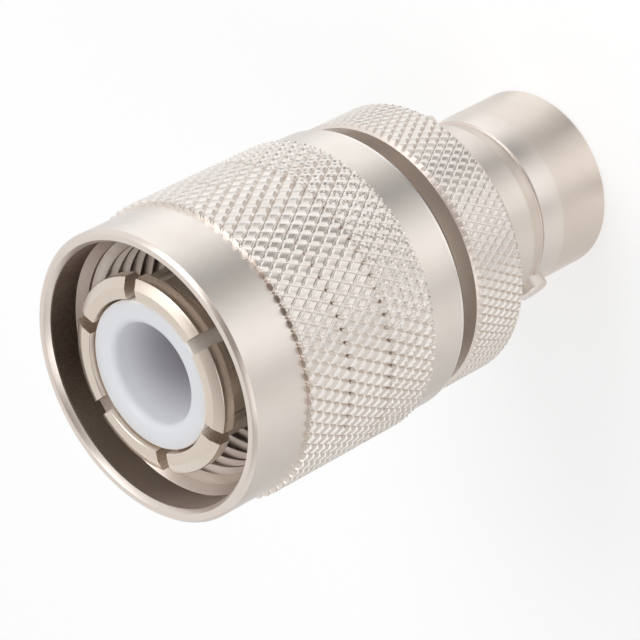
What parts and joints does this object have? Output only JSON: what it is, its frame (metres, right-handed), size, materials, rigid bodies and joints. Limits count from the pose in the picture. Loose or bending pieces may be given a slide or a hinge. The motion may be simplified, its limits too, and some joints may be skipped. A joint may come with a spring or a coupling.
{
  "type": "coaxial adapter",
  "caption": "Between-series coaxial adapter: a plug with a freely turning knurled coupling nut on one end and a two-lug bayonet jack on the other.",
  "frame": {"origin": "centre of the bayonet jack's end face, on which the adapter stands", "axes": "+Z along the common axis towards the mouth of the coupling nut, +X through one bayonet lug"},
  "size_m": [0.023, 0.023, 0.0419],
  "materials": {
    "nut_nickel": "satin nickel plating on turned and knurled brass",
    "shell_nickel": "satin nickel plating on turned brass",
    "contact_nickel": "smooth nickel-bronze plating on spring alloy",
    "contact_gold": "gold plating",
    "spring_ring": "plain spring wire",
    "insulator_white": "smooth white fluoropolymer",
    "gasket_rubber": "matt black rubber"
  },
  "bodies": {
    "shell": {"rear_shell": "shell_nickel", "front_shell": "shell_nickel", "retaining_ring": "spring_ring", "gasket": "gasket_rubber", "outer_contact": "contact_nickel", "front_insulator": "insulator_white", "pin_contact": "contact_gold", "rear_insulator": "insulator_white", "socket_contact": "contact_gold"},
    "nut": {"coupling_nut": "nut_nickel"}
  },
  "joints": [
    {"name": "nut_spin", "type": "hinge", "parent": "shell", "child": "nut", "pos_m": [0, 0, 0.0231], "axis": [0, 0, 1], "continuous": true}
  ]
}
